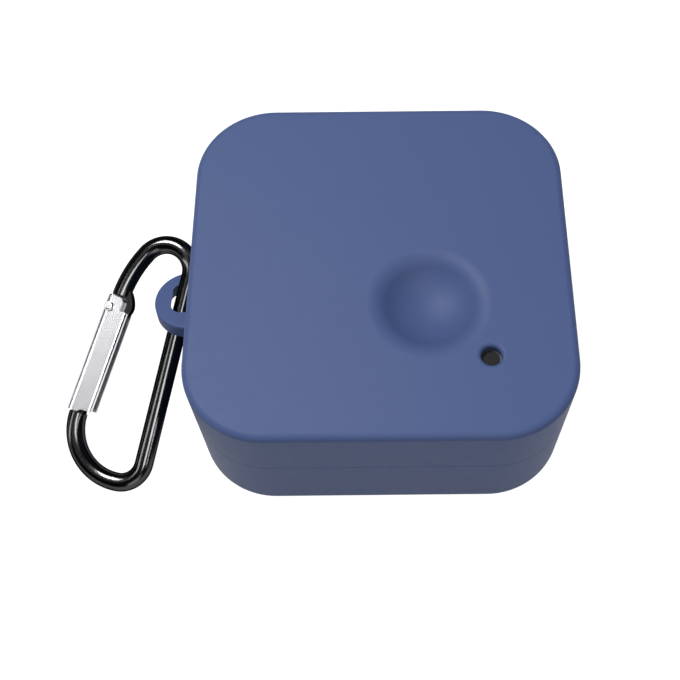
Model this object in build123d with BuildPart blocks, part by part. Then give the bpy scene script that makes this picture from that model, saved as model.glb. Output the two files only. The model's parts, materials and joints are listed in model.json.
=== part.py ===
"""Square earbud charging case in a two-piece silicone cover, with a lanyard loop and a mini carabiner.

Frame: millimetres, +Z up. The origin is the centre of the cover's underside, which stands on z = 0.
+X is to the right and +Y to the back, where the lid's hinge is.
"""
from build123d import *
from math import asin, acos, cos, degrees, radians, sin
import os

# ------------------------------------------------------------------ driving dimensions
# silicone cover
COVER_X, COVER_Y, COVER_Z = 62.0, 61.4, 28.2
COVER_CORNER = 13.1         # corner radius seen from above
TOP_ROUND, BOTTOM_ROUND = 1.2, 1.8
SKIN = 1.5                  # silicone wall
GAP = 0.1                   # air between neighbouring shells
SEAM_Z = 15.7               # parting line of base and lid
SEAM_HALF = 0.05            # half of the open parting line

# thumb dimple and status light, both on the lid
DIMPLE_X, DIMPLE_Y = 7.9, -7.5
DIMPLE_R, DIMPLE_DEPTH, DIMPLE_RIM_R = 9.9, 3.8, 4.2
LED_X, LED_Y = 17.2, -17.0
LED_HOLE_R, LED_HOLE_ROUND = 1.6, 0.7
PIPE_R = 1.4

# charging case
WALL = 1.4
CASE_X, CASE_Y = COVER_X - 2 * (SKIN + GAP), COVER_Y - 2 * (SKIN + GAP)
CASE_LOW, CASE_HIGH = SKIN + GAP, COVER_Z - SKIN - GAP
CASE_CORNER = COVER_CORNER - SKIN - GAP
INSIDE_X, INSIDE_Y = CASE_X - 2 * WALL, CASE_Y - 2 * WALL
INSIDE_LOW, INSIDE_HIGH = CASE_LOW + WALL, CASE_HIGH - WALL
INSIDE_CORNER = CASE_CORNER - WALL
LOOSE = 0.15                # fitting clearance of inner plastics

# lid hinge, along X at the back
BARREL_R = 1.3
HINGE_Y, HINGE_Z = CASE_Y / 2 - BARREL_R, SEAM_Z
HINGE_PIN_R, HINGE_BORE_R, HINGE_PIN_LENGTH = 0.6, 0.65, 34.0
BARREL_HALF = 23.0          # the lid's barrel ends where the case's corners begin to turn
KNUCKLE_NEAR, KNUCKLE_FAR = 9.2, 12.8
SPRING_HALF = 3.6
HINGE_WINDOW_HALF = 26.5    # opening in the cover around the hinge
WINDOW_BELOW, WINDOW_ABOVE = 1.6, 3.5

# tray, board and battery
TRAY_TOP, TRAY_PLATE = 15.0, 1.2
TRAY_BACK_Y = 26.0
WELL_WALL = 1.0
HEAD_FLOOR, STEM_FLOOR = 7.4, 11.6
BOARD_X, BOARD_Y, BOARD_LOW, BOARD_THICK = 52.0, 50.0, 3.6, 1.0
BOARD_TOP = BOARD_LOW + BOARD_THICK
BOSS_X, BOSS_Y, BOSS_R, BOSS_FOOT_R = 24.0, 21.0, 2.0, 3.0
SCREW_R, SCREW_HEAD_R, SCREW_HEAD, SCREW_LOW = 0.75, 1.6, 0.8, 8.0
BATTERY_X, BATTERY_Y, BATTERY_Z = 24.0, 24.0, 6.0
BATTERY_CENTRE_Y, BATTERY_LOW = -11.0, 5.9

# charging port and pair button, on the right wall
PORT_Y, PORT_Z = -2.0, BOARD_TOP + 1.6
SOCKET_WIDE, SOCKET_TALL, SOCKET_DEEP, SOCKET_SHEET = 8.94, 3.2, 7.3, 0.3
SOCKET_MOUTH_X = 28.9
BUTTON_Y, BUTTON_Z, BUTTON_R = -12.5, 6.6, 2.05
BUTTON_TRAVEL = 0.4

# closing magnets, at the front
MAGNET_X, MAGNET_Y, MAGNET_Z = 10.0, 2.0, 3.4

# earbuds: the head's axis runs along X, the stem along Y
HEAD_X, HEAD_Y, HEAD_Z = 16.5, 11.5, 14.8
HEAD_HALF, HEAD_R, HEAD_FLAT = 6.5, 7.0, 0.15
BUD_WALL = 1.0
BUD_SPLIT_X = 15.0
STEM_X, STEM_WIDE, STEM_TALL, STEM_FRONT_Y = 18.2, 6.0, 5.6, -12.0
NOZZLE_R, NOZZLE_BORE_R, NOZZLE_TIP_X = 2.4, 1.6, 6.8
TIP_R = 5.6

# lanyard loop, on the left wall of the cover
LOOP_Y, LOOP_Z, LOOP_TWIST = 0.2, 13.2, 10.0
LOOP_REACH, LOOP_HALF, LOOP_CORNER = 8.0, 6.15, 6.1     # outline from the wall
LOOP_THICK, LOOP_ROUND = 3.0, 0.4
HOLE_OUT, HOLE_BACK, HOLE_FRONT, HOLE_CORNER = 5.05, 3.4, 2.8, 1.6
HOLE_SLANT = 0.25           # the hole leans outwards on its way down, as the wire does
WIRE_ROOM = 0.15            # clearance between wire and loop

# carabiner: flat wire shape in its own plane, u across and v down along the spine
WIRE_R = 1.6
TOP_R, SHOULDER_R, CORNER_R, BELLY_R = 4.6, 21.0, 4.0, 9.3
BELLY_U, BELLY_V, TOP_V = 4.25, 22.9, -5.1
GATE_LEAN = 6.1
CARABINER_X, CARABINER_HEADING = -34.25, 14.4
RIVET_R, RIVET_V, RIVET_OUT, RIVET_HEAD_R, RIVET_HEAD = 0.6, 3.2, 0.7, 0.85, 0.55
GATE_IN, GATE_OUT, GATE_DEEP, GATE_BACK = 2.6, 1.95, 4.0, 0.7
GROOVE, TONGUE = 2.0, 1.7
GATE_BODY_V, EAR_V = 5.0, 18.5                          # stretch of the gate that has a back wall
HINGE_V, NOSE_V, NOSE_TIP_V = 0.75, 22.2, 19.3

os.makedirs("parts", exist_ok=True)


def save(piece, name):
    """Label a finished piece and write it as its own STEP file."""
    piece.label = name
    export_step(piece, f"parts/{name}.step")


# ------------------------------------------------------------------ shared shapes
def rounded_block(size_x, size_y, low, high, corner, low_round=0.0, high_round=0.0):
    """Upright block with rounded corners, and rounded lower and upper edges."""
    with BuildPart() as block:
        with BuildSketch(Plane.XY.offset(low)):
            RectangleRounded(size_x, size_y, corner)
        extrude(amount=high - low)
        if high_round:
            fillet(block.faces().sort_by(Axis.Z)[-1].edges(), high_round)
        if low_round:
            fillet(block.faces().sort_by(Axis.Z)[0].edges(), low_round)
    return block.part


def box_between(low, high):
    """Plain block between two opposite corners."""
    size = Vector(*high) - Vector(*low)
    middle = (Vector(*high) + Vector(*low)) * 0.5
    with BuildPart() as block:
        with Locations(middle):
            Box(size.X, size.Y, size.Z)
    return block.part


def rod(start, end, radius):
    """Cylinder from one point to another."""
    axis = Vector(*end) - Vector(*start)
    with BuildPart() as cylinder:
        with BuildSketch(Plane(origin=start, z_dir=axis)):
            Circle(radius)
        extrude(amount=axis.length)
    return cylinder.part


def dimple_tool(top):
    """Smooth bowl under the level top: a hollow arc that rolls over a rounded rim into the flat."""
    slope = 2 * asin(DIMPLE_DEPTH / (DIMPLE_R**2 + DIMPLE_DEPTH**2) ** 0.5)
    bowl_r = DIMPLE_R / sin(slope) - DIMPLE_RIM_R
    turn_r, turn_z = bowl_r * sin(slope), -DIMPLE_DEPTH + bowl_r * (1 - cos(slope))
    bowl_mid = (bowl_r * sin(slope / 2), -DIMPLE_DEPTH + bowl_r * (1 - cos(slope / 2)))
    rim_mid = (DIMPLE_R - DIMPLE_RIM_R * sin(slope / 2), -DIMPLE_RIM_R * (1 - cos(slope / 2)))
    with BuildPart() as tool:
        with BuildSketch(Plane(origin=(DIMPLE_X, DIMPLE_Y, top), x_dir=(1, 0, 0), z_dir=(0, -1, 0))):
            with BuildLine():
                ThreePointArc((0, -DIMPLE_DEPTH), bowl_mid, (turn_r, turn_z))
                ThreePointArc((turn_r, turn_z), rim_mid, (DIMPLE_R, 0))
                Polyline((DIMPLE_R, 0), (0, 0), (0, -DIMPLE_DEPTH))
            make_face()
        revolve(axis=Axis((DIMPLE_X, DIMPLE_Y, top), (0, 0, 1)))
    return tool.part


def below(level):
    return box_between((-60, -60, -5), (60, 60, level))


def above(level):
    return box_between((-60, -60, level), (60, 60, 60))


def hinge_rod(radius, x_from, x_to):
    """Cylinder on the hinge axis."""
    return rod((x_from, HINGE_Y, HINGE_Z), (x_to, HINGE_Y, HINGE_Z), radius)


dimple_outside = dimple_tool(COVER_Z)
dimple_cover_inside = dimple_tool(COVER_Z - SKIN)
dimple_case_outside = dimple_tool(CASE_HIGH)
dimple_case_inside = dimple_tool(INSIDE_HIGH)
cover_outside = rounded_block(COVER_X, COVER_Y, 0, COVER_Z, COVER_CORNER, BOTTOM_ROUND, TOP_ROUND)
cover_inside = rounded_block(
    COVER_X - 2 * SKIN, COVER_Y - 2 * SKIN, SKIN, COVER_Z - SKIN, COVER_CORNER - SKIN, 0.4, 0.4
)
case_outside = rounded_block(CASE_X, CASE_Y, CASE_LOW, CASE_HIGH, CASE_CORNER, 0.6, 0.6)
case_inside = rounded_block(INSIDE_X, INSIDE_Y, INSIDE_LOW, INSIDE_HIGH, INSIDE_CORNER)
hinge_window = box_between(
    (-HINGE_WINDOW_HALF, CASE_Y / 2 - 3.0, HINGE_Z - WINDOW_BELOW),
    (HINGE_WINDOW_HALF, COVER_Y, HINGE_Z + WINDOW_ABOVE),
)

# ------------------------------------------------------------------ where the carabiner lies
# Its outline has a lower corner inside the belly arc. It rests with that corner on the floor, and
# its spine passes through the loop.
corner_v = BELLY_V + ((BELLY_R - CORNER_R) ** 2 - (CORNER_R - BELLY_U) ** 2) ** 0.5
lowest_v = corner_v + CORNER_R
tilt = acos((LOOP_Z - WIRE_R - 0.02) / lowest_v)
heading = radians(CARABINER_HEADING)
across = Vector(-cos(heading), sin(heading), 0)
down = Vector(-sin(tilt) * sin(heading), -sin(tilt) * cos(heading), -cos(tilt))

# ------------------------------------------------------------------ silicone cover: base, with its loop
# The loop is a flat ring, which the carabiner's weight twists, front edge up. Its hole is undercut
# at the front and dished at the back, along the wire.
loop_plane = Plane(
    origin=(-COVER_X / 2, LOOP_Y, LOOP_Z),
    x_dir=(1, 0, 0),
    z_dir=(0, sin(radians(LOOP_TWIST)), cos(radians(LOOP_TWIST))),
)
pivot = Vector(CARABINER_X, LOOP_Y, LOOP_Z)
with BuildPart() as loop:
    with BuildSketch(loop_plane.offset(-LOOP_THICK / 2)):
        RectangleRounded(2 * LOOP_REACH, 2 * LOOP_HALF, LOOP_CORNER)
    extrude(amount=LOOP_THICK)
    loop_rims = loop.faces().sort_by(Axis(loop_plane.origin, loop_plane.z_dir))
    fillet(loop_rims[0].edges() + loop_rims[-1].edges(), LOOP_ROUND)
    with BuildSketch(loop_plane.offset(LOOP_THICK / 2)):
        with Locations((-HOLE_OUT / 2, (HOLE_BACK - HOLE_FRONT) / 2)):
            RectangleRounded(HOLE_OUT, HOLE_BACK + HOLE_FRONT, HOLE_CORNER)
    extrude(amount=-2 * LOOP_THICK, dir=loop_plane.z_dir + Vector(HOLE_SLANT, 0, 0), mode=Mode.SUBTRACT)
    add(rod(pivot - down * 12, pivot + down * 12, WIRE_R + WIRE_ROOM), mode=Mode.SUBTRACT)

port_mouth = rounded_block(6.4, 11.6, 0, 6, 3.0)
port_mouth = Plane(origin=(COVER_X / 2 - 4.5, PORT_Y, PORT_Z), x_dir=(0, 0, 1), z_dir=(1, 0, 0)) * port_mouth
with BuildPart() as cover_base:
    add(cover_outside)
    add(loop.part)
    add(cover_inside, mode=Mode.SUBTRACT)
    split(bisect_by=Plane.XY.offset(SEAM_Z - SEAM_HALF), keep=Keep.BOTTOM)
    add(hinge_window, mode=Mode.SUBTRACT)
    add(port_mouth, mode=Mode.SUBTRACT)
    add(rod((27, BUTTON_Y, BUTTON_Z), (33, BUTTON_Y, BUTTON_Z), BUTTON_R + 0.8), mode=Mode.SUBTRACT)
save(cover_base.part, "cover_base")

# ------------------------------------------------------------------ silicone cover: lid
with BuildPart() as cover_lid:
    add(cover_outside)
    add(dimple_outside, mode=Mode.SUBTRACT)
    with Locations((LED_X, LED_Y, COVER_Z)):
        Cylinder(LED_HOLE_R, 12, mode=Mode.SUBTRACT)
    led_rim = cover_lid.edges().filter_by(GeomType.CIRCLE)
    led_rim = led_rim.filter_by(lambda e: abs(e.radius - LED_HOLE_R) < 0.01).sort_by(Axis.Z)[-1]
    fillet(led_rim, LED_HOLE_ROUND)
cover_lid_inside = cover_inside - dimple_cover_inside
with BuildPart() as cover_lid_open:
    add(cover_lid.part)
    add(cover_lid_inside, mode=Mode.SUBTRACT)
    add(below(SEAM_Z + SEAM_HALF), mode=Mode.SUBTRACT)
    add(hinge_window, mode=Mode.SUBTRACT)
save(cover_lid_open.part, "cover_lid")

# ------------------------------------------------------------------ charging case: base shell
with BuildPart() as case_base_shell:
    add(case_outside)
    add(case_inside, mode=Mode.SUBTRACT)
    add(above(SEAM_Z - SEAM_HALF), mode=Mode.SUBTRACT)
    # room for the lid's barrel
    add(
        box_between((-BARREL_HALF - 0.6, 25.0, HINGE_Z - WINDOW_BELOW), (BARREL_HALF + 0.6, 40, 20)),
        mode=Mode.SUBTRACT,
    )
    for side in (-1, 1):
        near, far = sorted((side * KNUCKLE_NEAR, side * KNUCKLE_FAR))
        add(hinge_rod(BARREL_R, near, far))
        add(box_between((near, HINGE_Y - 0.9, HINGE_Z - 2.4), (far, CASE_Y / 2, HINGE_Z)))
    add(hinge_rod(HINGE_PIN_R + 0.01, -20, 20), mode=Mode.SUBTRACT)
    with BuildSketch(Plane.XY.offset(INSIDE_LOW)):
        with GridLocations(2 * BOSS_X, 2 * BOSS_Y, 2, 2):
            Circle(BOSS_FOOT_R)
    extrude(amount=BOARD_LOW - INSIDE_LOW)
    with BuildSketch(Plane.XY.offset(INSIDE_LOW)):
        with GridLocations(2 * BOSS_X, 2 * BOSS_Y, 2, 2):
            Circle(BOSS_R)
    extrude(amount=TRAY_TOP - TRAY_PLATE - INSIDE_LOW)
    with BuildSketch(Plane.XY.offset(TRAY_TOP - TRAY_PLATE)):
        with GridLocations(2 * BOSS_X, 2 * BOSS_Y, 2, 2):
            Circle(SCREW_R + 0.02)
    extrude(amount=-(TRAY_TOP - TRAY_PLATE - SCREW_LOW + 0.3), mode=Mode.SUBTRACT)
    # charging port and button holes in the right wall
    with BuildSketch(Plane(origin=(26, PORT_Y, PORT_Z), x_dir=(0, 1, 0), z_dir=(1, 0, 0))):
        RectangleRounded(SOCKET_WIDE + 0.3, SOCKET_TALL + 0.3, (SOCKET_TALL + 0.3) / 2 - 0.01)
    extrude(amount=6, mode=Mode.SUBTRACT)
    add(rod((27, BUTTON_Y, BUTTON_Z), (33, BUTTON_Y, BUTTON_Z), BUTTON_R + 0.1), mode=Mode.SUBTRACT)
save(case_base_shell.part, "case_base_shell")

# ------------------------------------------------------------------ charging case: lid shell
case_lid_inside = case_inside - dimple_case_inside
lid_barrel = hinge_rod(BARREL_R, -BARREL_HALF, BARREL_HALF) & case_outside
with BuildPart() as case_lid_shell:
    add(case_outside)
    add(dimple_case_outside, mode=Mode.SUBTRACT)
    add(case_lid_inside, mode=Mode.SUBTRACT)
    add(below(SEAM_Z + SEAM_HALF), mode=Mode.SUBTRACT)
    add(lid_barrel)
    for side in (-1, 1):
        near, far = sorted((side * (KNUCKLE_NEAR - 0.2), side * (KNUCKLE_FAR + 0.2)))
        add(box_between((near, 25.0, HINGE_Z - 2), (far, 40, HINGE_Z + 1.9)), mode=Mode.SUBTRACT)
    add(
        box_between((-SPRING_HALF, 25.0, HINGE_Z - 2), (SPRING_HALF, 40, HINGE_Z + 1.9)),
        mode=Mode.SUBTRACT,
    )
    add(hinge_rod(HINGE_BORE_R, -17.4, 17.4), mode=Mode.SUBTRACT)
    add(rod((LED_X, LED_Y, 20), (LED_X, LED_Y, 30), PIPE_R + 0.05), mode=Mode.SUBTRACT)
save(case_lid_shell.part, "case_lid_shell")

# ------------------------------------------------------------------ lid liner, with its magnet pocket
LINER_LOW, LINER_HIGH, LINER_WALL = 17.3, INSIDE_HIGH - 0.3, 1.0
MAGNET_BACK_Y = -INSIDE_Y / 2 + LOOSE + MAGNET_Y
liner_outside = rounded_block(
    INSIDE_X - 2 * LOOSE, INSIDE_Y - 2 * LOOSE, LINER_LOW, LINER_HIGH, INSIDE_CORNER - LOOSE
)
liner_inside = rounded_block(
    INSIDE_X - 2 * LOOSE - 2 * LINER_WALL, INSIDE_Y - 2 * LOOSE - 2 * LINER_WALL,
    LINER_LOW, LINER_HIGH - LINER_WALL, INSIDE_CORNER - LOOSE - LINER_WALL,
)
LID_MAGNET_LOW = SEAM_Z + 0.7
with BuildPart() as lid_liner:
    add(liner_outside)
    add(liner_inside, mode=Mode.SUBTRACT)
    with BuildSketch(Plane.XY.offset(LINER_HIGH)):
        with Locations((DIMPLE_X, DIMPLE_Y)):
            Circle(DIMPLE_R + 0.3)
        with Locations((LED_X, LED_Y)):
            Circle(PIPE_R + 0.9)
    extrude(amount=-LINER_WALL - 0.2, mode=Mode.SUBTRACT)
    add(
        box_between(
            (-MAGNET_X / 2 - 1.5, -INSIDE_Y / 2 + LOOSE, LID_MAGNET_LOW - 0.5),
            (MAGNET_X / 2 + 1.5, MAGNET_BACK_Y + 1.2, LID_MAGNET_LOW + MAGNET_Z + 1.0),
        )
    )
    add(
        box_between(
            (-MAGNET_X / 2 - 0.1, -INSIDE_Y / 2, LID_MAGNET_LOW - 0.05),
            (MAGNET_X / 2 + 0.1, MAGNET_BACK_Y + 0.1, LID_MAGNET_LOW + MAGNET_Z + 0.05),
        ),
        mode=Mode.SUBTRACT,
    )
save(lid_liner.part, "lid_liner")

# ------------------------------------------------------------------ tray with two earbud wells
BASE_MAGNET_LOW = TRAY_TOP - 0.7 - MAGNET_Z
PIN_Y, PIN_SPREAD = -9.5, 2.6


def well_shape(side, grow):
    """Outline of one earbud's head and tip well, seen from above."""
    with BuildSketch(mode=Mode.PRIVATE) as outline:
        with Locations((side * HEAD_X, HEAD_Y)):
            RectangleRounded(2 * (HEAD_HALF + 0.7 + grow), 2 * (HEAD_R + 0.7 + grow), 6.9 + grow)
        with Locations((side * 7.6, HEAD_Y)):
            RectangleRounded(2 * (4.0 + grow), 2 * (TIP_R + 0.6 + grow), 2.0 + grow)
    return outline.sketch


def stem_shape(side, grow):
    """Outline of one stem slot, seen from above."""
    with BuildSketch(mode=Mode.PRIVATE) as outline:
        length = HEAD_Y - STEM_FRONT_Y + 0.4
        with Locations((side * STEM_X, HEAD_Y - length / 2)):
            RectangleRounded(STEM_WIDE + 0.8 + 2 * grow, length + 2 * grow, 2.6 + grow)
    return outline.sketch


with BuildPart() as case_tray:
    add(
        rounded_block(
            INSIDE_X - 2 * LOOSE, INSIDE_Y - 2 * LOOSE, TRAY_TOP - TRAY_PLATE, TRAY_TOP, INSIDE_CORNER - LOOSE
        )
    )
    add(box_between((-30, TRAY_BACK_Y, 10), (30, 40, 20)), mode=Mode.SUBTRACT)
    for side in (-1, 1):
        with BuildSketch(Plane.XY.offset(HEAD_FLOOR - WELL_WALL)):
            add(well_shape(side, WELL_WALL))
        extrude(amount=TRAY_TOP - HEAD_FLOOR + WELL_WALL)
        with BuildSketch(Plane.XY.offset(STEM_FLOOR - WELL_WALL)):
            add(stem_shape(side, WELL_WALL))
        extrude(amount=TRAY_TOP - STEM_FLOOR + WELL_WALL)
    for side in (-1, 1):
        with BuildSketch(Plane.XY.offset(HEAD_FLOOR)):
            add(well_shape(side, 0))
        extrude(amount=10, mode=Mode.SUBTRACT)
        with BuildSketch(Plane.XY.offset(STEM_FLOOR)):
            add(stem_shape(side, 0))
        extrude(amount=10, mode=Mode.SUBTRACT)
        with BuildSketch(Plane.XY.offset(STEM_FLOOR)):
            with Locations((side * STEM_X, PIN_Y)):
                with GridLocations(PIN_SPREAD, 0, 2, 1):
                    Circle(0.5)
        extrude(amount=-3, mode=Mode.SUBTRACT)
    # magnet pocket at the front
    add(
        box_between(
            (-MAGNET_X / 2 - 1.5, -INSIDE_Y / 2 + LOOSE, BASE_MAGNET_LOW - 0.8),
            (MAGNET_X / 2 + 1.5, MAGNET_BACK_Y + 1.2, TRAY_TOP),
        )
    )
    add(
        box_between(
            (-MAGNET_X / 2 - 0.1, -INSIDE_Y / 2, BASE_MAGNET_LOW - 0.05),
            (MAGNET_X / 2 + 0.1, MAGNET_BACK_Y + 0.1, BASE_MAGNET_LOW + MAGNET_Z + 0.05),
        ),
        mode=Mode.SUBTRACT,
    )
    # screw holes with head recesses, and the light pipe's hole
    with Locations((0, 0, TRAY_TOP)):
        with GridLocations(2 * BOSS_X, 2 * BOSS_Y, 2, 2):
            CounterBoreHole(SCREW_R + 0.1, SCREW_HEAD_R + 0.15, SCREW_HEAD, depth=3)
    with Locations((LED_X, LED_Y, TRAY_TOP)):
        Hole(PIPE_R + 0.1, depth=3)
save(case_tray.part, "case_tray")

# ------------------------------------------------------------------ hinge pin and spring
hinge_pin = hinge_rod(HINGE_PIN_R, -HINGE_PIN_LENGTH / 2, HINGE_PIN_LENGTH / 2)
save(hinge_pin, "hinge_pin")

SPRING_WIRE_R, SPRING_COIL_R, SPRING_PITCH, SPRING_LONG = 0.18, 0.92, 0.6, 4.8
with BuildPart() as hinge_spring:
    with BuildLine() as coil:
        coil_start = (-SPRING_LONG / 2, HINGE_Y, HINGE_Z)
        Helix(SPRING_PITCH, SPRING_LONG, SPRING_COIL_R, center=coil_start, direction=(1, 0, 0))
    with BuildSketch(Plane(origin=coil.line @ 0, z_dir=coil.line % 0)):
        Circle(SPRING_WIRE_R)
    sweep(path=coil.line)
save(hinge_spring.part, "hinge_spring")

# ------------------------------------------------------------------ board and what is on it
with BuildPart() as main_board:
    with BuildSketch(Plane.XY.offset(BOARD_LOW)):
        RectangleRounded(BOARD_X, BOARD_Y, 6)
        with GridLocations(2 * BOSS_X, 2 * BOSS_Y, 2, 2):
            Circle(BOSS_R + 0.2, mode=Mode.SUBTRACT)
    extrude(amount=BOARD_THICK)
save(main_board.part, "main_board")

with BuildPart() as board_chips:
    for x, y, size_x, size_y in ((-6, -6, 5, 5), (4, -14, 4, 4), (-16, 20, 6, 4), (2, 20, 3, 3)):
        with BuildSketch(Plane.XY.offset(BOARD_TOP)):
            with Locations((x, y)):
                Rectangle(size_x, size_y)
        extrude(amount=0.9)
save(board_chips.part, "board_chips")

lid_sensor = box_between((-22, -2, BOARD_TOP), (-20, 1, BOARD_TOP + 0.8))
save(lid_sensor, "lid_sensor")

battery_cell = rounded_block(
    BATTERY_X, BATTERY_Y, BATTERY_LOW, BATTERY_LOW + BATTERY_Z, 1.5, 1.2, 1.2
)
battery_cell = Pos(0, BATTERY_CENTRE_Y, 0) * battery_cell
save(battery_cell, "battery_cell")

status_led = box_between(
    (LED_X - 0.8, LED_Y - 0.8, BOARD_TOP), (LED_X + 0.8, LED_Y + 0.8, BOARD_TOP + 0.7)
)
save(status_led, "status_led")

with BuildPart() as base_light_pipe:
    add(rod((LED_X, LED_Y, BOARD_TOP + 1.0), (LED_X, LED_Y, TRAY_TOP), PIPE_R))
    pipe_flange_top = TRAY_TOP - TRAY_PLATE
    add(rod((LED_X, LED_Y, pipe_flange_top - 1.0), (LED_X, LED_Y, pipe_flange_top), PIPE_R + 0.6))
save(base_light_pipe.part, "base_light_pipe")

with BuildPart() as lid_light_pipe:
    add(rod((LED_X, LED_Y, SEAM_Z + 0.3), (LED_X, LED_Y, CASE_HIGH), PIPE_R))
    add(rod((LED_X, LED_Y, INSIDE_HIGH - 0.9), (LED_X, LED_Y, INSIDE_HIGH), PIPE_R + 0.6))
save(lid_light_pipe.part, "lid_light_pipe")

# ------------------------------------------------------------------ charging port
port_plane = Plane(origin=(SOCKET_MOUTH_X, PORT_Y, PORT_Z), x_dir=(0, 1, 0), z_dir=(1, 0, 0))
with BuildPart() as usb_c_socket:
    with BuildSketch(port_plane):
        RectangleRounded(SOCKET_WIDE, SOCKET_TALL, SOCKET_TALL / 2 - 0.01)
    extrude(amount=-SOCKET_DEEP)
    with BuildSketch(port_plane):
        RectangleRounded(
            SOCKET_WIDE - 2 * SOCKET_SHEET,
            SOCKET_TALL - 2 * SOCKET_SHEET,
            SOCKET_TALL / 2 - SOCKET_SHEET - 0.01,
        )
    extrude(amount=-SOCKET_DEEP + 1.0, mode=Mode.SUBTRACT)
save(usb_c_socket.part, "usb_c_socket")

usb_c_tongue = box_between(
    (SOCKET_MOUTH_X - SOCKET_DEEP + 1.0, PORT_Y - 3.35, PORT_Z - 0.35),
    (SOCKET_MOUTH_X - 1.0, PORT_Y + 3.35, PORT_Z + 0.35),
)
save(usb_c_tongue, "usb_c_tongue")

# ------------------------------------------------------------------ pair button and its switch
with BuildPart() as pair_button:
    add(rod((27.9, BUTTON_Y, BUTTON_Z), (COVER_X / 2 - 0.7, BUTTON_Y, BUTTON_Z), BUTTON_R))
    fillet(pair_button.faces().sort_by(Axis.X)[-1].edges(), 0.35)
    add(rod((27.3, BUTTON_Y, BUTTON_Z), (27.9, BUTTON_Y, BUTTON_Z), BUTTON_R + 0.7))
save(pair_button.part, "pair_button")

with BuildPart() as button_switch:
    add(box_between((22.9, BUTTON_Y - 2.5, BOARD_TOP), (25.9, BUTTON_Y + 2.5, BOARD_TOP + 3.6)))
    add(rod((25.9, BUTTON_Y, BUTTON_Z), (27.3 - BUTTON_TRAVEL - 0.1, BUTTON_Y, BUTTON_Z), 0.8))
save(button_switch.part, "button_switch")

# ------------------------------------------------------------------ magnets, contact pins and screws
for name, magnet_low in (("base_closing_magnet", BASE_MAGNET_LOW), ("lid_closing_magnet", LID_MAGNET_LOW)):
    magnet = box_between(
        (-MAGNET_X / 2, -INSIDE_Y / 2 + LOOSE + 0.02, magnet_low),
        (MAGNET_X / 2, MAGNET_BACK_Y, magnet_low + MAGNET_Z),
    )
    save(magnet, name)

with BuildPart() as bud_magnets:
    for side in (-1, 1):
        with Locations((side * HEAD_X, HEAD_Y, HEAD_FLOOR - WELL_WALL - 0.7)):
            Cylinder(2.2, 1.2)
        with Locations((side * STEM_X, -3.0, STEM_FLOOR - WELL_WALL - 0.7)):
            Cylinder(2.2, 1.2)
save(bud_magnets.part, "bud_magnets")

with BuildPart() as pogo_pins:
    for side in (-1, 1):
        for offset in (-PIN_SPREAD / 2, PIN_SPREAD / 2):
            x = side * STEM_X + offset
            add(rod((x, PIN_Y, 7.4), (x, PIN_Y, STEM_FLOOR - WELL_WALL), 0.75))
            add(rod((x, PIN_Y, STEM_FLOOR - WELL_WALL), (x, PIN_Y, HEAD_Z - STEM_TALL / 2), 0.45))
save(pogo_pins.part, "pogo_pins")

with BuildPart() as tray_screws:
    with BuildSketch(Plane.XY.offset(SCREW_LOW)):
        with GridLocations(2 * BOSS_X, 2 * BOSS_Y, 2, 2):
            Circle(SCREW_R)
    extrude(amount=TRAY_TOP - SCREW_HEAD - SCREW_LOW)
    with BuildSketch(Plane.XY.offset(TRAY_TOP - SCREW_HEAD)):
        with GridLocations(2 * BOSS_X, 2 * BOSS_Y, 2, 2):
            Circle(SCREW_HEAD_R)
    extrude(amount=SCREW_HEAD)
    with BuildSketch(Plane.XY.offset(TRAY_TOP)):
        with GridLocations(2 * BOSS_X, 2 * BOSS_Y, 2, 2):
            Rectangle(2.0, 0.4)
            Rectangle(0.4, 2.0)
    extrude(amount=-0.4, mode=Mode.SUBTRACT)
save(tray_screws.part, "tray_screws")


# ------------------------------------------------------------------ earbuds
def head_solid(shrink):
    """Head as a flat-ended oval turned about an X axis, shrunk by a wall on every side."""
    half, radius = HEAD_HALF - shrink, HEAD_R - shrink
    with BuildPart() as head:
        with BuildSketch(Plane(origin=(HEAD_X, HEAD_Y, HEAD_Z), x_dir=(1, 0, 0), z_dir=(0, -1, 0))):
            Ellipse(half, radius)
            Rectangle(2 * (half - HEAD_FLAT), 2 * radius, mode=Mode.INTERSECT)
            with Locations((0, -radius)):
                Rectangle(4 * half, 2 * radius, mode=Mode.SUBTRACT)
        revolve(axis=Axis((HEAD_X, HEAD_Y, HEAD_Z), (1, 0, 0)))
    return head.part


def stem_solid(shrink, round_off):
    """Stem as a bar along Y with rounded long edges and a rounded front end."""
    back = HEAD_Y
    front = STEM_FRONT_Y + shrink
    with BuildPart() as stem:
        with BuildSketch(Plane(origin=(STEM_X, back, HEAD_Z), x_dir=(1, 0, 0), z_dir=(0, -1, 0))):
            RectangleRounded(STEM_WIDE - 2 * shrink, STEM_TALL - 2 * shrink, round_off)
        extrude(amount=back - front)
        if not shrink:
            fillet(stem.faces().sort_by(Axis.Y)[0].edges(), 1.2)
    return stem.part


def axial(radius, x_from, x_to):
    """Cylinder on the head's axis."""
    return rod((x_from, HEAD_Y, HEAD_Z), (x_to, HEAD_Y, HEAD_Z), radius)


contact_z = HEAD_Z - STEM_TALL / 2
with BuildPart() as bud_contacts:
    for offset in (-PIN_SPREAD / 2, PIN_SPREAD / 2):
        add(rod((STEM_X + offset, PIN_Y, contact_z), (STEM_X + offset, PIN_Y, contact_z + 0.3), 0.8))

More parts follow.
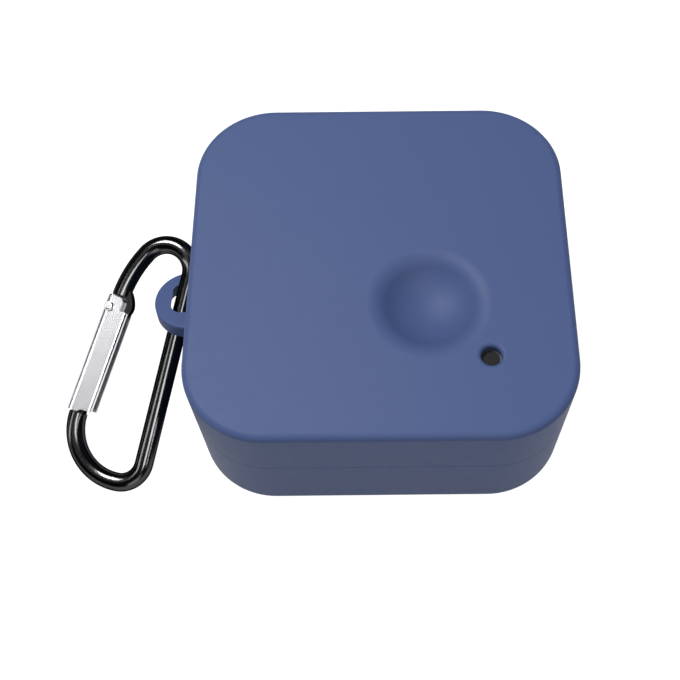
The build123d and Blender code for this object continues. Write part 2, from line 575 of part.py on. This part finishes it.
bud_seam = Plane.YZ.offset(BUD_SPLIT_X)
with BuildPart() as bud_outer:
    add(head_solid(0))
    add(stem_solid(0, 2.2))
    split(bisect_by=bud_seam, keep=Keep.TOP)
    add(head_solid(BUD_WALL), mode=Mode.SUBTRACT)
    add(stem_solid(BUD_WALL, 1.2), mode=Mode.SUBTRACT)
    add(bud_contacts.part, mode=Mode.SUBTRACT)
with BuildPart() as bud_inner:
    add(head_solid(0))
    add(axial(NOZZLE_R, NOZZLE_TIP_X, 12))
    split(bisect_by=bud_seam, keep=Keep.BOTTOM)
    add(head_solid(BUD_WALL), mode=Mode.SUBTRACT)
    add(axial(NOZZLE_BORE_R, NOZZLE_TIP_X - 1, 13), mode=Mode.SUBTRACT)
with BuildPart() as bud_tip:
    with BuildSketch(Plane(origin=(0, HEAD_Y, HEAD_Z), x_dir=(1, 0, 0), z_dir=(0, -1, 0))):
        with BuildLine():
            Polyline((6.0, 2.45), (10.0, 2.45), (10.0, 3.0), (7.2, 3.0))
            ThreePointArc((7.2, 3.0), (8.2, 4.3), (10.0, TIP_R - 0.6))
            Line((10.0, TIP_R - 0.6), (10.0, TIP_R))
            ThreePointArc((10.0, TIP_R), (7.1, 4.8), (5.7, 2.9))
            Line((5.7, 2.9), (6.0, 2.45))
        make_face()
    revolve(axis=Axis((0, HEAD_Y, HEAD_Z), (1, 0, 0)))
earbud = {
    "outer_housing": bud_outer.part,
    "inner_housing": bud_inner.part,
    "ear_tip": bud_tip.part,
    "nozzle_mesh": axial(NOZZLE_R - 0.1, NOZZLE_TIP_X - 0.3, NOZZLE_TIP_X),
    "driver": axial(4.0, 12.7, 14.8),
    "cell": axial(4.0, 17.2, 20.4),
    "stem_board": box_between((STEM_X - 1.6, -9.0, HEAD_Z - 0.4), (STEM_X + 1.6, 4.5, HEAD_Z + 0.4)),
    "contacts": bud_contacts.part,
}
for piece_name, piece in earbud.items():
    save(piece, f"right_{piece_name}")
    save(mirror(piece, about=Plane.YZ), f"left_{piece_name}")

# ------------------------------------------------------------------ carabiner
# The wire's outline in its own plane: straight spine, round top, long shoulder, leaning gate line,
# wide belly and a tighter lower corner. Each joint of two arcs is where they share a tangent.
lean = radians(GATE_LEAN)
belly = Vector(BELLY_U, BELLY_V)
gate_out = Vector(cos(lean), -sin(lean))        # across the gate line, away from the spine
gate_down = Vector(sin(lean), cos(lean))
gate_foot = belly + gate_out * BELLY_R
corner = Vector(CORNER_R, corner_v)
top = Vector(TOP_R, TOP_V)


def gate_point(v, out=0.0):
    """Point on the gate line at height v, moved outwards by out."""
    return gate_foot + gate_down * ((v - gate_foot.Y) / cos(lean)) + gate_out * out


# The shoulder's centre lies SHOULDER_R inside the gate line and SHOULDER_R - TOP_R from the top's centre.
from_line = (gate_foot - top).dot(gate_out)
along = ((SHOULDER_R - TOP_R) ** 2 - (SHOULDER_R - from_line) ** 2) ** 0.5
shoulder_end = top + gate_out * from_line + gate_down * along
shoulder = shoulder_end - gate_out * SHOULDER_R
top_end = top + (top - shoulder).normalized() * TOP_R
corner_end = corner + (corner - belly).normalized() * CORNER_R

carabiner_plane = Plane(origin=(CARABINER_X, LOOP_Y, LOOP_Z), x_dir=across, z_dir=across.cross(down))
normal = carabiner_plane.z_dir


def flat(point):
    """Plain (u, v) pair, which a builder places on its own plane."""
    return (point.X, point.Y)


def gate_outline(*points):
    """Plain pairs for (height, outwards) points on the gate line."""
    return [flat(gate_point(v, out)) for v, out in points]


def arc_between(centre, radius, start, end):
    """Arc about a centre, by way of the point half-way round on the short side."""
    middle = centre + ((start - centre).normalized() + (end - centre).normalized()).normalized() * radius
    return ThreePointArc(flat(start), flat(middle), flat(end))


def on_circle(centre, radius, v):
    """Point of a circle at height v, on the side away from the spine."""
    angle = asin((v - centre.Y) / radius)
    return centre + Vector(cos(angle), sin(angle)) * radius


hinge_end = on_circle(shoulder, SHOULDER_R, HINGE_V)
nose_end = on_circle(belly, BELLY_R, NOSE_V)
crown = top + Vector(0, -TOP_R)
spine_high, spine_low = Vector(0, TOP_V), Vector(0, corner_v)
rivet = gate_point(RIVET_V, RIVET_OUT)
rivet_centre = carabiner_plane.from_local_coords(rivet)

with BuildPart() as carabiner_frame:
    with BuildLine(carabiner_plane) as wire_path:
        arc_between(shoulder, SHOULDER_R, hinge_end, top_end)
        arc_between(top, TOP_R, top_end, crown)
        arc_between(top, TOP_R, crown, spine_high)
        Line(flat(spine_high), flat(spine_low))
        arc_between(corner, CORNER_R, spine_low, corner_end)
        arc_between(belly, BELLY_R, corner_end, nose_end)
    with BuildSketch(Plane(origin=wire_path.line @ 0, z_dir=wire_path.line % 0)):
        Circle(WIRE_R)
    sweep(path=wire_path.line)
    # flattened ends: one for the hinge, round the rivet and with a tail, and one for the nose
    with BuildSketch(carabiner_plane):
        with BuildLine():
            Polyline(*gate_outline(
                (-0.35, -1.5), (0.2, 1.2), (RIVET_V - 0.8, RIVET_OUT + 0.85)
            ))
            ThreePointArc(*gate_outline(
                (RIVET_V - 0.8, RIVET_OUT + 0.85),
                (RIVET_V + 0.5, RIVET_OUT + 1.0),
                (RIVET_V + 1.15, RIVET_OUT),
            ))
            Spline(*gate_outline(
                (RIVET_V + 1.15, RIVET_OUT), (RIVET_V + 1.0, -1.0), (4.1, -2.1), (3.2, -2.75),
                (1.3, -2.55), (-0.35, -1.5),
            ))
        make_face()
        with BuildLine():
            Polyline(
                *gate_outline(
                    (NOSE_V + 1.0, -1.1), (NOSE_TIP_V + 0.8, -1.2), (NOSE_TIP_V, -0.5), (NOSE_TIP_V, 0.6),
                    (NOSE_TIP_V + 0.8, 1.05), (NOSE_V + 1.0, 1.2)
                ),
                close=True,
            )
        make_face()
    extrude(amount=TONGUE / 2, both=True)
    add(rod(rivet_centre - normal * 3, rivet_centre + normal * 3, RIVET_R + 0.01), mode=Mode.SUBTRACT)
save(carabiner_frame.part, "carabiner_frame")

with BuildPart() as gate_rivet:
    half = GATE_DEEP / 2 + 0.04
    add(rod(rivet_centre - normal * half, rivet_centre + normal * half, RIVET_R))
    for end in (-1, 1):
        head_foot = rivet_centre + normal * half * end
        add(rod(head_foot, head_foot + normal * RIVET_HEAD * end, RIVET_HEAD_R))
    head_faces = gate_rivet.faces().sort_by(Axis(rivet_centre, normal))
    fillet(head_faces[0].edges() + head_faces[-1].edges(), 0.4)
save(gate_rivet.part, "gate_rivet")

# The gate is a channel, open towards the spine. Its ends are pairs of ears round the two tongues.
with BuildPart() as carabiner_gate:
    with BuildSketch(carabiner_plane):
        with BuildLine():
            Polyline(*gate_outline(
                (2.0, -1.3), (3.4, -1.3), (3.6, -GATE_IN), (21.4, -GATE_IN), (21.4, -0.8), (21.95, -0.3),
                (21.95, GATE_OUT - 0.4), (21.5, GATE_OUT), (1.7, GATE_OUT), (1.05, GATE_OUT - 0.7), (1.25, -0.4)
            ))
            ThreePointArc(*gate_outline((1.25, -0.4), (1.45, -1.05), (2.0, -1.3)))
        make_face()
    extrude(amount=GATE_DEEP / 2, both=True)
    long_edges = carabiner_gate.edges().filter_by(lambda e: e.length > 15)
    outer_edges = long_edges.sort_by_distance(carabiner_plane.from_local_coords(gate_point(12, 5)))[:2]
    fillet(outer_edges, 1.2)
    long_edges = carabiner_gate.edges().filter_by(lambda e: e.length > 15)
    inner_edges = long_edges.sort_by_distance(carabiner_plane.from_local_coords(gate_point(12, -5)))[:2]
    fillet(inner_edges, 0.5)
    with BuildSketch(carabiner_plane):
        Polygon(
            *gate_outline(
                (-3, -4), (-3, 5), (GATE_BODY_V, 5), (GATE_BODY_V, GATE_OUT - GATE_BACK),
                (EAR_V, GATE_OUT - GATE_BACK), (EAR_V, 5), (26, 5), (26, -4)
            ),
            align=None,
        )
    extrude(amount=GROOVE / 2, both=True, mode=Mode.SUBTRACT)
    add(rod(rivet_centre - normal * 3, rivet_centre + normal * 3, RIVET_R + 0.05), mode=Mode.SUBTRACT)
save(carabiner_gate.part, "carabiner_gate")

spring_start = carabiner_plane.from_local_coords(gate_point(RIVET_V + 1.5, 0.1))
spring_end = carabiner_plane.from_local_coords(gate_point(RIVET_V + 9.0, 0.95))
gate_spring = rod(spring_start, spring_end, 0.22)
save(gate_spring, "gate_spring")

print(f"carabiner tilt {degrees(tilt):.2f}, normal {normal}, rivet {rivet_centre}")
print(f"overall {lowest_v - TOP_V + TOP_R + 2 * WIRE_R:.1f} x {belly.X + BELLY_R + 2 * WIRE_R:.1f}")
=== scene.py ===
"""Looks for the earbud charging case in its silicone cover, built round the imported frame."""
import json
import math

import bpy
from mathutils import Matrix, Vector

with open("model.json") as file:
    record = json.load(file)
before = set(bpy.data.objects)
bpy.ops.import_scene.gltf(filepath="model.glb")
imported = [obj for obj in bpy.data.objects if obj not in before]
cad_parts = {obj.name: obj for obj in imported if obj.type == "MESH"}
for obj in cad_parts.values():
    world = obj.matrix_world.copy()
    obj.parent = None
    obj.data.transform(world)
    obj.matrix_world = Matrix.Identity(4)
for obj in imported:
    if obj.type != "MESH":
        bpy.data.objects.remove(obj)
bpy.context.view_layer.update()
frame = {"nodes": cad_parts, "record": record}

scene = bpy.context.scene
scene.view_settings.view_transform = "Standard"
nodes = frame["nodes"]

# ------------------------------------------------------------------ camera
# Lengths in metres, and shifts and focal length in widths of the picture.
SENSOR, FOCAL_WIDTHS = 36.0, 1.618382
SHIFT_X, SHIFT_Y = -0.0591, -0.0569
NEAREST, FARTHEST = 0.005, 20
TARGET, DISTANCE = Vector((0, 0, 0.0141)), 0.1908
ELEVATION, AZIMUTH, ROLL = math.radians(62.19), math.radians(-0.05), math.radians(-0.52)

back = Vector((
    math.sin(AZIMUTH) * math.cos(ELEVATION),
    -math.cos(AZIMUTH) * math.cos(ELEVATION),
    math.sin(ELEVATION),
))
facing = (-back).to_track_quat("-Z", "Y").to_matrix() @ Matrix.Rotation(ROLL, 3, "Z")
camera_data = bpy.data.cameras.new("camera")
camera_data.sensor_width, camera_data.lens = SENSOR, FOCAL_WIDTHS * SENSOR
camera_data.shift_x, camera_data.shift_y = SHIFT_X, SHIFT_Y
camera_data.clip_start, camera_data.clip_end = NEAREST, FARTHEST
camera = bpy.data.objects.new("camera", camera_data)
scene.collection.objects.link(camera)
camera.matrix_world = Matrix.Translation(TARGET + back * DISTANCE) @ facing.to_4x4()
scene.camera = camera

# ------------------------------------------------------------------ light
LIT_POINT = Vector((0, 0, 0.014))
# softbox: place, width, height, watts
SOFTBOXES = {
    "key_overhead": ((-0.22, 0.19, 0.72), 0.26, 0.26, 11.8),
    "fill_front": ((0.05, -0.55, 0.22), 0.30, 0.30, 0.7),
    # these two stand where the wire and the gate's face mirror them to the front
    "panel_wire": ((0.09, -0.27, 0.585), 0.20, 0.24, 2.2),
    "panel_gate": ((-0.32, -0.16, 0.585), 0.24, 0.28, 0.10),
    "strip_left": ((-0.50, -0.10, 0.34), 0.05, 0.50, 0.8),
    "strip_right": ((0.36, -0.30, 0.50), 0.04, 0.40, 0.8),
}
# world: white up to a low height over the horizon, then almost dark
WHITE_UP_TO, DARK_FROM = 0.08, 0.16
WHITE, DARK = 1.0, 0.02


def softbox(name, place, width, height, watts):
    """Rectangular soft light, aimed at the middle of the case."""
    data = bpy.data.lights.new(name, "AREA")
    data.shape = "RECTANGLE"
    data.size, data.size_y = width, height
    data.energy = watts
    light = bpy.data.objects.new(name, data)
    scene.collection.objects.link(light)
    light.location = place
    light.rotation_euler = (LIT_POINT - Vector(place)).to_track_quat("-Z", "Y").to_euler()


def studio_world():
    """World whose grey depends only on the height of the direction looked in."""
    world = bpy.data.worlds.new("studio")
    world.use_nodes = True
    tree = world.node_tree
    direction = tree.nodes.new("ShaderNodeTexCoord")
    split = tree.nodes.new("ShaderNodeSeparateXYZ")
    sky = tree.nodes.new("ShaderNodeValToRGB")
    stops = ((WHITE_UP_TO, WHITE), (DARK_FROM, DARK))
    for stop, (height, grey) in zip(sky.color_ramp.elements, stops):
        stop.position, stop.color = height, (grey, grey, grey, 1)
    background = tree.nodes["Background"]
    background.inputs["Strength"].default_value = 1.0
    tree.links.new(direction.outputs["Generated"], split.inputs["Vector"])
    tree.links.new(split.outputs["Z"], sky.inputs["Fac"])
    tree.links.new(sky.outputs["Color"], background.inputs["Color"])
    return world


for light_name, row in SOFTBOXES.items():
    softbox(light_name, *row)
scene.world = studio_world()


# ------------------------------------------------------------------ materials
class Shader:
    """A material with one principled shader, and short ways to add the nodes that drive it."""

    def __init__(self, name, colour, roughness, metallic=0.0, **values):
        self.material = bpy.data.materials.new(name)
        self.material.use_nodes = True
        self.tree = self.material.node_tree
        self.out = self.tree.nodes["Principled BSDF"]
        self.out.inputs["Base Color"].default_value = (*colour, 1)
        self.out.inputs["Roughness"].default_value = roughness
        self.out.inputs["Metallic"].default_value = metallic
        for key, value in values.items():
            self.out.inputs[key.replace("_", " ")].default_value = value
        self.where = self.tree.nodes.new("ShaderNodeTexCoord").outputs["Object"]

    def node(self, kind, **inputs):
        """New node, with each input linked to a socket or set to a value."""
        node = self.tree.nodes.new(kind)
        for key, value in inputs.items():
            socket = node.inputs[key.replace("_", " ")]
            if isinstance(value, bpy.types.NodeSocket):
                self.tree.links.new(value, socket)
            else:
                socket.default_value = value
        return node

    def noise(self, per_metre, detail):
        """Noise in object space, with about per_metre cells to the metre."""
        field = self.node("ShaderNodeTexNoise", Vector=self.where, Scale=per_metre, Detail=detail)
        return field.outputs["Fac"]

    def ramp(self, factor, *stops):
        """Colour ramp from (position, colour or grey) stops."""
        node = self.node("ShaderNodeValToRGB", Fac=factor)
        for element, (position, colour) in zip(node.color_ramp.elements, stops):
            element.position = position
            element.color = (*colour, 1) if isinstance(colour, tuple) else (colour, colour, colour, 1)
        return node.outputs["Color"]

    def drive(self, socket, value):
        self.tree.links.new(value, self.out.inputs[socket])

    def bump(self, height, strength, metres):
        """Relief from a height field, whose full depth is in metres."""
        node = self.node("ShaderNodeBump", Height=height, Strength=strength, Distance=metres)
        self.drive("Normal", node.outputs["Normal"])


def shade(colour, factor):
    return tuple(channel * factor for channel in colour)


def mottle(shader, colour, per_metre, spread):
    """Slow, slight colour change across a surface."""
    tones = (0.3, shade(colour, 1 - spread)), (0.7, shade(colour, 1 + spread))
    shader.drive("Base Color", shader.ramp(shader.noise(per_metre, 3), *tones))


def vary_gloss(shader, field, low, high):
    """Roughness that follows a noise field between two values."""
    shader.drive("Roughness", shader.ramp(field, (0.3, low), (0.7, high)))


def silicone(name, colour):
    """Soft-touch silicone: even, matte, with a very fine skin."""
    s = Shader(name, colour, 0.5, Specular_IOR_Level=0.09)
    mottle(s, colour, 60, 0.01)
    vary_gloss(s, s.noise(900, 4), 0.50, 0.54)
    s.bump(s.noise(9000, 3), strength=0.06, metres=0.00001)
    return s.material


def plastic(name, colour, roughness, grain=6000, relief=0.00002, **values):
    """Moulded plastic with a fine spark-eroded grain."""
    s = Shader(name, colour, roughness, **values)
    mottle(s, colour, 120, 0.06)
    vary_gloss(s, s.noise(1500, 3), roughness - 0.05, roughness + 0.06)
    s.bump(s.noise(grain, 3), strength=0.2, metres=relief)
    return s.material


def metal(name, colour, roughness, per_metre=4000, relief=0.000002):
    """Plated or rolled metal. One grain drives its tone, gloss and relief."""
    spread = 0.05
    s = Shader(name, colour, roughness, 1.0)
    grain = s.noise(per_metre, 4)
    s.drive("Base Color", s.ramp(grain, (0.25, shade(colour, 1 - spread)), (0.75, colour)))
    vary_gloss(s, grain, roughness - spread / 2, roughness + spread / 2)
    s.bump(grain, strength=0.25, metres=relief)
    return s.material


def satin(name, colour, roughness):
    """Smooth drawn metal: only slow, slight changes of tone and gloss."""
    spread = 0.005
    s = Shader(name, colour, roughness, 1.0)
    mottle(s, colour, 300, 0.01)
    vary_gloss(s, s.noise(300, 1), roughness - spread, roughness + spread)
    return s.material


def black_enamel(name, colour):
    """Near-black coated wire: even mirror strength at all angles, so that its rim stays dark."""
    s = Shader(name, colour, 0.16, 1.0, Specular_Tint=(0.15, 0.15, 0.15, 1))
    mottle(s, colour, 400, 0.1)
    vary_gloss(s, s.noise(2500, 3), 0.14, 0.18)
    return s.material


def circuit(name, colour):
    """Circuit board: solder mask over a faint grid of copper."""
    s = Shader(name, colour, 0.35)
    grid = s.node("ShaderNodeTexBrick", Vector=s.where, Scale=450.0)
    for key, factor in (("Color1", 1.0), ("Color2", 1.25), ("Mortar", 2.2)):
        grid.inputs[key].default_value = (*shade(colour, factor), 1)
    s.drive("Base Color", grid.outputs["Color"])
    s.bump(grid.outputs["Fac"], strength=0.3, metres=0.00003)
    return s.material


def mesh_weave(name, colour):
    """Fine metal mesh: dark holes between bright wires."""
    hole = 0.01
    s = Shader(name, colour, 0.4, 1.0)
    cells = s.node("ShaderNodeTexVoronoi", Vector=s.where, Scale=4500.0)
    s.drive("Base Color", s.ramp(cells.outputs["Distance"], (0.2, hole), (0.5, colour)))
    s.bump(cells.outputs["Distance"], strength=0.5, metres=0.00005)
    return s.material


BLACK, CHARCOAL = (0.012, 0.012, 0.013), (0.02, 0.02, 0.022)
looks = {
    "cover_silicone": silicone("silicone_blue", (0.026, 0.040, 0.094)),
    "case_plastic": plastic("case_plastic", BLACK, 0.38),
    "tray_plastic": plastic("tray_plastic", (0.016, 0.016, 0.018), 0.58, grain=3500, relief=0.00004),
    "steel": metal("steel", (0.60, 0.60, 0.61), 0.28),
    "magnet": metal("magnet_nickel", (0.68, 0.67, 0.65), 0.2),
    "board": circuit("circuit_board", (0.012, 0.10, 0.045)),
    "chip": plastic("chip_resin", BLACK, 0.5),
    "cell_foil": metal("cell_foil", (0.72, 0.73, 0.75), 0.35, per_metre=900, relief=0.00006),
    "clear_plastic": plastic("light_guide", (0.004, 0.004, 0.005), 0.5, Specular_IOR_Level=0.08),
    "gold": metal("gold_plate", (0.85, 0.58, 0.20), 0.22),
    "bud_plastic": plastic(
        "bud_plastic", (0.010, 0.010, 0.011), 0.16, grain=5000, relief=0.000006, Coat_Weight=0.6
    ),
    "tip_silicone": plastic("tip_silicone", CHARCOAL, 0.66),
    "mesh": mesh_weave("woven_mesh", (0.12, 0.12, 0.13)),
    "black_wire": black_enamel("black_enamel", (0.05, 0.05, 0.05)),
    "gate_metal": satin("gate_aluminium", (0.70, 0.70, 0.72), 0.24),
}
slot_of = {row["node"]: row["material_slot"] for row in frame["record"]["subparts"]}
for name, piece in nodes.items():
    for slot in piece.material_slots:
        slot.material = looks[slot_of[name]]

# ------------------------------------------------------------------ floor
# Pale paper, a little self-lit, so that it stays white in shadow too.
FLOOR_SIZE = 6
PAPER_GREY, PAPER_SPREAD, PAPER_GLOW = 0.12, 0.002, 0.95

bpy.ops.mesh.primitive_plane_add(size=FLOOR_SIZE, location=(0, 0, 0))
floor = bpy.context.object
floor.name = "floor"
paper = Shader(
    "floor_paper", (PAPER_GREY,) * 3, 0.9,
    Specular_IOR_Level=0.0, Emission_Color=(1, 1, 1, 1), Emission_Strength=PAPER_GLOW,
)
paper_tones = (0.3, PAPER_GREY - PAPER_SPREAD), (0.7, PAPER_GREY + PAPER_SPREAD)
paper.drive("Base Color", paper.ramp(paper.noise(3, 2), *paper_tones))
floor.data.materials.append(paper.material)
